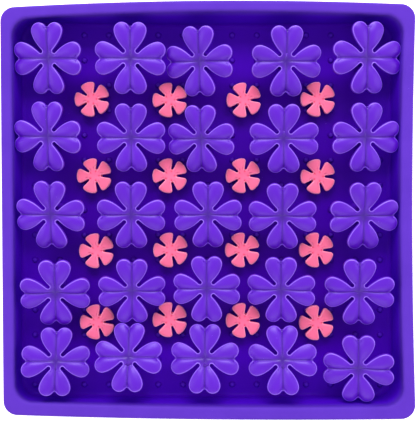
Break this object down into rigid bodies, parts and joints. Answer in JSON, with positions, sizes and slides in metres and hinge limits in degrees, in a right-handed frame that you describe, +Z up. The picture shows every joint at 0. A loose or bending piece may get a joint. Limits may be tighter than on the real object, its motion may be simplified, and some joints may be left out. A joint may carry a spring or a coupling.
{
  "type": "silicone lick mat",
  "caption": "Square silicone lick mat: a rimmed tray with a nubbed floor, tall clover heads on bending stems and low flowers between them.",
  "frame": {"origin": "middle of the flat underside, on the surface that the mat rests on", "axes": "+Z up through the mat, +Y towards the top of the picture, +X to its right"},
  "size_m": [0.262, 0.2648, 0.0317],
  "materials": {
    "purple_silicone": "soft satin moulded silicone",
    "pink_silicone": "soft satin moulded silicone"
  },
  "bodies": {
    "root": {"tray": "purple_silicone", "clover_r1_c1": "purple_silicone", "clover_r1_c2": "purple_silicone", "clover_r1_c3": "purple_silicone", "clover_r1_c4": "purple_silicone", "clover_r1_c5": "purple_silicone", "clover_r2_c1": "purple_silicone", "clover_r2_c2": "purple_silicone", "clover_r2_c3": "purple_silicone", "clover_r2_c4": "purple_silicone", "clover_r2_c5": "purple_silicone", "clover_r3_c1": "purple_silicone", "clover_r3_c2": "purple_silicone", "clover_r3_c3": "purple_silicone", "clover_r3_c4": "purple_silicone", "clover_r3_c5": "purple_silicone", "clover_r4_c1": "purple_silicone", "clover_r4_c2": "purple_silicone", "clover_r4_c3": "purple_silicone", "clover_r4_c4": "purple_silicone", "clover_r4_c5": "purple_silicone", "clover_r5_c1": "purple_silicone", "clover_r5_c2": "purple_silicone", "clover_r5_c3": "purple_silicone", "clover_r5_c4": "purple_silicone", "clover_r5_c5": "purple_silicone", "flower_r1_c1": "pink_silicone", "flower_r1_c2": "pink_silicone", "flower_r1_c3": "pink_silicone", "flower_r1_c4": "pink_silicone", "flower_r2_c1": "pink_silicone", "flower_r2_c2": "pink_silicone", "flower_r2_c3": "pink_silicone", "flower_r2_c4": "pink_silicone", "flower_r3_c1": "pink_silicone", "flower_r3_c2": "pink_silicone", "flower_r3_c3": "pink_silicone", "flower_r3_c4": "pink_silicone", "flower_r4_c1": "pink_silicone", "flower_r4_c2": "pink_silicone", "flower_r4_c3": "pink_silicone", "flower_r4_c4": "pink_silicone"}
  },
  "joints": []
}
